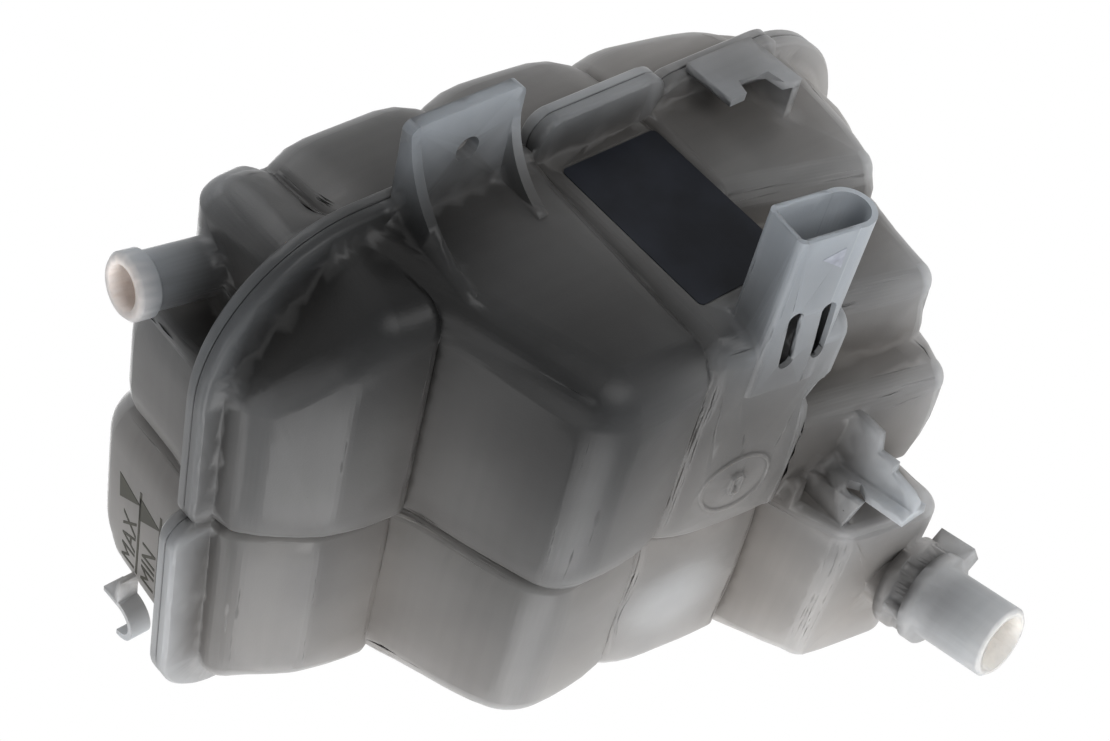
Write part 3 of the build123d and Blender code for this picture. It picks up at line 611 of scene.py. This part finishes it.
def pillowed(points, normals, bulk, edges, low):
    """How far points move in along the pillow cells' edges and towards the grooves between them."""
    inner = grid_at(bulk, low, points + normals * look_ahead * MM) > inner_bulk
    outer = points - normals * (inner * wall_thick * MM)[:, None]
    inward = inward_at(edges, low, outer)
    share = grid_at(edges, low, outer)
    move = np.clip((round_from - share) * round_gain, 0.0, round_most) + inner * inner_clear
    place = outer / MM
    below = place[:, 2] < weld_z
    left = ~below & (place[:, 0] < left_column_x)
    for grooves, depth, side in (
        (lower_grooves, lower_groove_depth, below),
        (upper_grooves, upper_groove_depth, ~below),
        (left_grooves, upper_groove_depth, left),
    ):
        for axis, middle in grooves:
            near = np.maximum(0.0, 1.0 - np.abs(place[:, axis] - middle) / groove_width)
            move += depth * near ** 2 * side
    free = np.clip((np.abs(place[:, 2] - weld_z) - keep_rim) / keep_fade, 0.0, 1.0)
    for least, most in crisp_parts:
        beyond = np.maximum(np.maximum(np.array(least) - place, place - np.array(most)), 0.0)
        free = np.minimum(free, np.linalg.norm(beyond, axis=1) / keep_fade)
    return inward * (move * free)[:, None] * MM


def evened(values, mesh):
    """Rows of values shared a little with the neighbouring points of a mesh."""
    ends = np.zeros(len(mesh.edges) * 2, int)
    mesh.edges.foreach_get("vertices", ends)
    first, second = ends.reshape(-1, 2).T
    count = np.bincount(ends, minlength=len(values))[:, None]
    for _ in range(tone_passes):
        around = np.zeros_like(values)
        np.add.at(around, first, values[second])
        np.add.at(around, second, values[first])
        values = 0.5 * values + 0.5 * around / count
    return values


def read_points(mesh, name):
    """A mesh's places or normals as rows of three."""
    values = np.zeros(len(mesh.vertices) * 3)
    mesh.vertices.foreach_get(name, values)
    return values.reshape(-1, 3)


def dressed_half(node, name, grids, material):
    """A moulded half with fine even skin, carrying the light that goes through its walls as painted
    light and shade in its colour.
    """
    light, bulk, near, edges, low = grids
    bm = bmesh.new()
    bm.from_mesh(cad_nodes[node].data)
    bmesh.ops.remove_doubles(bm, verts=bm.verts, dist=same_point * MM)
    halve_long_edges(bm, skin_edge * MM)
    mesh = bpy.data.meshes.new(name)
    bm.to_mesh(mesh)
    bm.free()
    mesh.shade_smooth()
    mesh.set_sharp_from_angle(angle=math.radians(sharp_angle))
    points, normals = read_points(mesh, "co"), read_points(mesh, "normal")
    # Painted light and shade, laid into the colour attribute and evened over the mesh
    tones = evened(wall_colours_with_painted_light(points, normals, light, near, low), mesh)
    tone = mesh.attributes.new("wall_colour_and_painted_light", "FLOAT_COLOR", "POINT")
    tone.data.foreach_set("color", tones.ravel())
    points += pillowed(points, normals, bulk, edges, low)
    mesh.vertices.foreach_set("co", points.ravel())
    mesh.update()
    piece = tank_piece(name, mesh, material)
    even = piece.modifiers.new("even_shading", "WEIGHTED_NORMAL")
    even.keep_sharp = True
    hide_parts(node)
    return piece


def tank_piece(name, mesh, material):
    """A finished piece that rides on the tank."""
    mesh.materials.clear()
    mesh.materials.append(material)
    piece = bpy.data.objects.new(name, mesh)
    bpy.context.scene.collection.objects.link(piece)
    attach(piece, "tank")
    return piece


def word_outline(word, height):
    """Flat triangles of a word, in its own plane, with its left end and baseline at zero."""
    letters = bpy.data.curves.new(word, "FONT")
    letters.body = word
    letters.size = height
    letters.fill_mode = "FRONT"
    holder = bpy.data.objects.new(word, letters)
    bpy.context.scene.collection.objects.link(holder)
    bpy.context.view_layer.update()
    flat = bpy.data.meshes.new_from_object(holder.evaluated_get(bpy.context.evaluated_depsgraph_get()))
    flat.calc_loop_triangles()
    points = [(v.co.x, v.co.y) for v in flat.vertices]
    faces = [tuple(t.vertices) for t in flat.loop_triangles]
    bpy.data.objects.remove(holder)
    bpy.data.meshes.remove(flat)
    return points, faces


def print_on(bm, points, faces, place, outward, carrier):
    """Lays flat triangles on a wall, a hair proud of it, each point where the wall is."""
    start = len(bm.verts)
    for u, v in points:
        from_outside = place(u, v) + outward * mark_ray * MM
        hit = carrier.ray_cast(from_outside, -outward, 2.0 * mark_ray * MM)[0]
        bm.verts.new(hit + outward * mark_rise * MM)
        bm.verts.new(hit - outward * mark_sink * MM)
    bm.verts.ensure_lookup_table()
    edges = {}
    for face in faces:
        corners = [start + 2 * i for i in face]
        bm.faces.new([bm.verts[i] for i in corners])
        bm.faces.new([bm.verts[i + 1] for i in reversed(corners)])
        for a, b in zip(corners, corners[1:] + corners[:1]):
            edges[(a, b)] = edges.get((a, b), 0) + 1
    for a, b in edges:
        if (b, a) not in edges:
            bm.faces.new([bm.verts[i] for i in (b, a, a + 1, b + 1)])


def level_marks_on_wall(carrier, material):
    """Words, arrows and lines of the two levels on the back cell's left wall."""
    outward = Vector((-1.0, 0.0, 0.0))
    bm = bmesh.new()
    for word, level in level_marks:
        def at_level(u, v, level=level):
            return Vector((mark_wall_x, u, level + v)) * MM

        points, faces = word_outline(word, mark_letters)
        points = [(mark_start_y - u, v + mark_lift) for u, v in points]
        print_on(bm, points, faces, at_level, outward, carrier)
        print_on(bm, mark_arrow, [(0, 2, 1)], at_level, outward, carrier)
        half = 0.5 * mark_line
        ys = np.linspace(mark_start_y, mark_end_y, mark_line_points)
        strip = [(y, v) for y in ys for v in (-half, half)]
        steps = range(0, len(strip) - 2, 2)
        print_on(bm, strip, [(i, i + 2, i + 3, i + 1) for i in steps], at_level, outward, carrier)
    bmesh.ops.recalc_face_normals(bm, faces=bm.faces)
    mesh = bpy.data.meshes.new("level_marks")
    bm.to_mesh(mesh)
    bm.free()
    tank_piece("level_marks", mesh, material)


def pocket_mark(carrier, material):
    """Small arrow on the sensor pocket's lower face."""
    bm = bmesh.new()
    print_on(
        bm,
        pocket_arrow,
        [(0, 1, 2)],
        lambda u, v: Vector((u, v, pocket_face_z)) * MM,
        Vector((0.0, 0.0, -1.0)),
        carrier,
    )
    bmesh.ops.recalc_face_normals(bm, faces=bm.faces)
    mesh = bpy.data.meshes.new("pocket_arrow")
    bm.to_mesh(mesh)
    bm.free()
    tank_piece("pocket_arrow", mesh, material)


def helix_tree():
    """Node tree of a ridge that follows a helix, with named inputs for its sizes."""
    tree = bpy.data.node_groups.new("helix_ridge", "GeometryNodeTree")
    tree.interface.new_socket("Geometry", in_out="OUTPUT", socket_type="NodeSocketGeometry")
    for name in ("Radius", "Rise", "Turns", "Base", "Crest", "Height"):
        tree.interface.new_socket(name, in_out="INPUT", socket_type="NodeSocketFloat")
    tree.interface.new_socket("Finish", in_out="INPUT", socket_type="NodeSocketMaterial")
    given = add(tree, "NodeGroupInput").outputs
    helix = add(
        tree,
        "GeometryNodeCurveSpiral",
        {
            "Resolution": helix_steps,
            "Rotations": given["Turns"],
            "Start Radius": given["Radius"],
            "End Radius": given["Radius"],
            "Height": given["Rise"],
            "Reverse": True,
        },
    )
    upright = add(tree, "GeometryNodeSetCurveNormal", {"Curve": helix}, mode="Z_UP")
    section = add(
        tree,
        "GeometryNodeCurvePrimitiveQuadrilateral",
        {
            "Height": given["Height"],
            "Bottom Width": given["Base"],
            "Top Width": given["Crest"],
            "Offset": 0.0,
        },
        mode="TRAPEZOID",
    )
    turn = (0.0, 0.0, section_turn)
    turned = add(tree, "GeometryNodeTransform", {"Geometry": section, "Rotation": turn})
    feeds = {"Curve": upright, "Profile Curve": turned, "Fill Caps": True}
    swept = add(tree, "GeometryNodeCurveToMesh", feeds)
    whole = add(tree, "GeometryNodeRealizeInstances", {"Geometry": swept})
    painted = add(tree, "GeometryNodeSetMaterial", {"Geometry": whole, "Material": given["Finish"]})
    result = add(tree, "NodeGroupOutput")
    tree.links.new(painted.outputs["Geometry"], result.inputs["Geometry"])
    return tree


def helix_mesh(tree, name, low, sizes, material):
    """A plain mesh of the helix tree at the given sizes in millimetres, from a low point on its axis."""
    holder = bpy.data.objects.new(name, bpy.data.meshes.new(name))
    bpy.context.scene.collection.objects.link(holder)
    maker = holder.modifiers.new(name, "NODES")
    maker.node_group = tree
    for item in tree.interface.items_tree:
        if item.in_out == "INPUT":
            scale = 1.0 if item.name == "Turns" else MM
            maker[item.identifier] = material if item.name == "Finish" else sizes[item.name] * scale
    bpy.context.view_layer.update()
    seen = holder.evaluated_get(bpy.context.evaluated_depsgraph_get())
    mesh = bpy.data.meshes.new_from_object(seen)
    bpy.data.objects.remove(holder)
    bm = bmesh.new()
    bm.from_mesh(mesh)
    bmesh.ops.recalc_face_normals(bm, faces=bm.faces)
    bm.to_mesh(mesh)
    bm.free()
    mesh.name = name
    mesh.transform(Matrix.Translation(low))
    return mesh


def neck_thread(tree, material):
    """Screw thread round the filler neck."""
    sizes = {
        "Radius": 0.5 * neck_d + thread_middle * thread_height,
        "Rise": thread_turns * thread_pitch,
        "Turns": thread_turns,
        "Base": thread_base,
        "Crest": thread_crest,
        "Height": thread_height,
    }
    low = Vector((neck_x, neck_y, neck_top_z - thread_low - sizes["Rise"])) * MM
    mesh = helix_mesh(tree, "neck_thread", low, sizes, material)
    tone = mesh.attributes.new("wall_colour_and_painted_light", "FLOAT_COLOR", "POINT")
    tone.data.foreach_set("color", np.tile((*thread_tone, 1.0), len(mesh.vertices)))
    tank_piece("neck_thread", mesh, material)


def valve_coil(tree, material):
    """The pressure valve's spring, as a coil of fixed length riding on the cap's core."""
    low, high = (Vector(c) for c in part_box("valve_spring"))
    height = high.z - low.z
    sizes = {
        "Radius": 0.5 * (spring_d - spring_wire),
        "Rise": height / MM - spring_wire,
        "Turns": spring_turns,
        "Base": spring_wire,
        "Crest": spring_wire,
        "Height": spring_wire,
    }
    foot = Vector((neck_x * MM, neck_y * MM, low.z + 0.5 * spring_wire * MM))
    piece = bpy.data.objects.new("valve_coil", helix_mesh(tree, "valve_coil", foot, sizes, material))
    bpy.context.scene.collection.objects.link(piece)
    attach(piece, "cap_core")
    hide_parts("valve_spring")
    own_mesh(piece)


def seen_directly(tree):
    """One for what the camera, gloss or glass sees, nought for light that falls on the object."""
    path = add(tree, "ShaderNodeLightPath")
    seen = math_node(tree, "MAXIMUM", path.outputs["Is Camera Ray"], path.outputs["Is Glossy Ray"])
    return math_node(tree, "MAXIMUM", seen, path.outputs["Is Transmission Ray"])


def studio():
    """Camera of the photograph, pale floor, white surroundings and soft lamps."""
    scene = bpy.context.scene
    scene.view_settings.view_transform = "Standard"
    lens = bpy.data.cameras.new("photo_camera")
    lens.sensor_fit = "HORIZONTAL"
    lens.sensor_width = film_width
    lens.lens = film_width * camera_focal / picture_width
    camera = bpy.data.objects.new("photo_camera", lens)
    scene.collection.objects.link(camera)
    turn = Matrix((camera_right, camera_up, camera_back)).transposed().to_4x4()
    camera.matrix_world = Matrix.Translation(Vector(camera_place) * MM) @ turn
    scene.camera = camera
    world = bpy.data.worlds.new("white_room")
    world.use_nodes = True
    tree = world.node_tree
    ground = tree.nodes["Background"]
    ground.inputs["Color"].default_value = (*white, 1.0)
    strength = spread(tree, seen_directly(tree), world_light, 1.0)
    tree.links.new(socket(strength), ground.inputs["Strength"])
    scene.world = world
    floor_mesh = bpy.data.meshes.new("pale_floor")
    signs = ((-1, -1), (1, -1), (1, 1), (-1, 1))
    corners = [(floor_reach * x, floor_reach * y, floor_z) for x, y in signs]
    floor_mesh.from_pydata(corners, [], [(0, 1, 2, 3)])
    floor_paint, tree, shader = finish("pale_floor", Roughness=floor_rough)
    blotch = ramp(tree, grain(tree, 2.0), ((0.0, floor_dark), (1.0, floor_pale)))
    tree.links.new(socket(blotch), shader.inputs["Base Color"])
    shader.inputs["Emission Color"].default_value = (*white, 1.0)
    glow = spread(tree, seen_directly(tree), 0.0, floor_glow)
    tree.links.new(socket(glow), shader.inputs["Emission Strength"])
    floor_mesh.materials.append(floor_paint)
    floor = bpy.data.objects.new("pale_floor", floor_mesh)
    scene.collection.objects.link(floor)
    for name, place, power in lamps:
        lamp = bpy.data.lights.new(name, "AREA")
        lamp.shape = "DISK"
        lamp.size = lamp_size
        lamp.energy = power
        holder = bpy.data.objects.new(name, lamp)
        scene.collection.objects.link(holder)
        aim = lamp_target - Vector(place)
        turn = aim.to_track_quat("-Z", "Y").to_matrix().to_4x4()
        holder.matrix_world = Matrix.Translation(place) @ turn
        holder.visible_camera = False


plastic = milky_plastic()
grids = light_in(["lower_half", "upper_half"])
lower_skin = dressed_half("lower_half", "lower_half_skin", grids, plastic)
upper_skin = dressed_half("upper_half", "upper_half_skin", grids, plastic)
level_marks_on_wall(ray_tree(upper_skin.data), mark_ink("level_ink", level_ink))
pocket_mark(ray_tree(lower_skin.data), mark_ink("pocket_ink", pocket_ink))
helix = helix_tree()
neck_thread(helix, plastic)
valve_coil(helix, turned_metal("spring_steel", (0.52, 0.53, 0.55), 0.2, 0.36))

node_finishes = {
    "label": label_film(),
    "cap_shell": moulded_black("cap_plastic", (0.012, 0.012, 0.013), 0.38, 0.58, 0.00008),
    "cap_insert": moulded_black("insert_plastic", (0.018, 0.018, 0.019), 0.32, 0.5, 0.00004),
    "neck_seal": moulded_black("seal_rubber", (0.010, 0.010, 0.010), 0.5, 0.7, 0.00003),
    "pressure_valve": turned_metal("valve_brass", (0.72, 0.50, 0.20), 0.22, 0.4),
    "vacuum_valve": turned_metal("valve_brass_small", (0.70, 0.49, 0.21), 0.24, 0.42),
    "spring_plate": turned_metal("plate_steel", (0.60, 0.60, 0.61), 0.25, 0.42),
    "level_float": float_foam(),
    "float_magnet": turned_metal("magnet_ferrite", (0.10, 0.10, 0.11), 0.4, 0.6),
    "float_retainer": moulded_black("retainer_plastic", (0.45, 0.45, 0.44), 0.4, 0.55, 0.00003),
}
for node_name, node_finish in node_finishes.items():
    slots = cad_nodes[node_name].data.materials
    slots.clear()
    slots.append(node_finish)

studio()
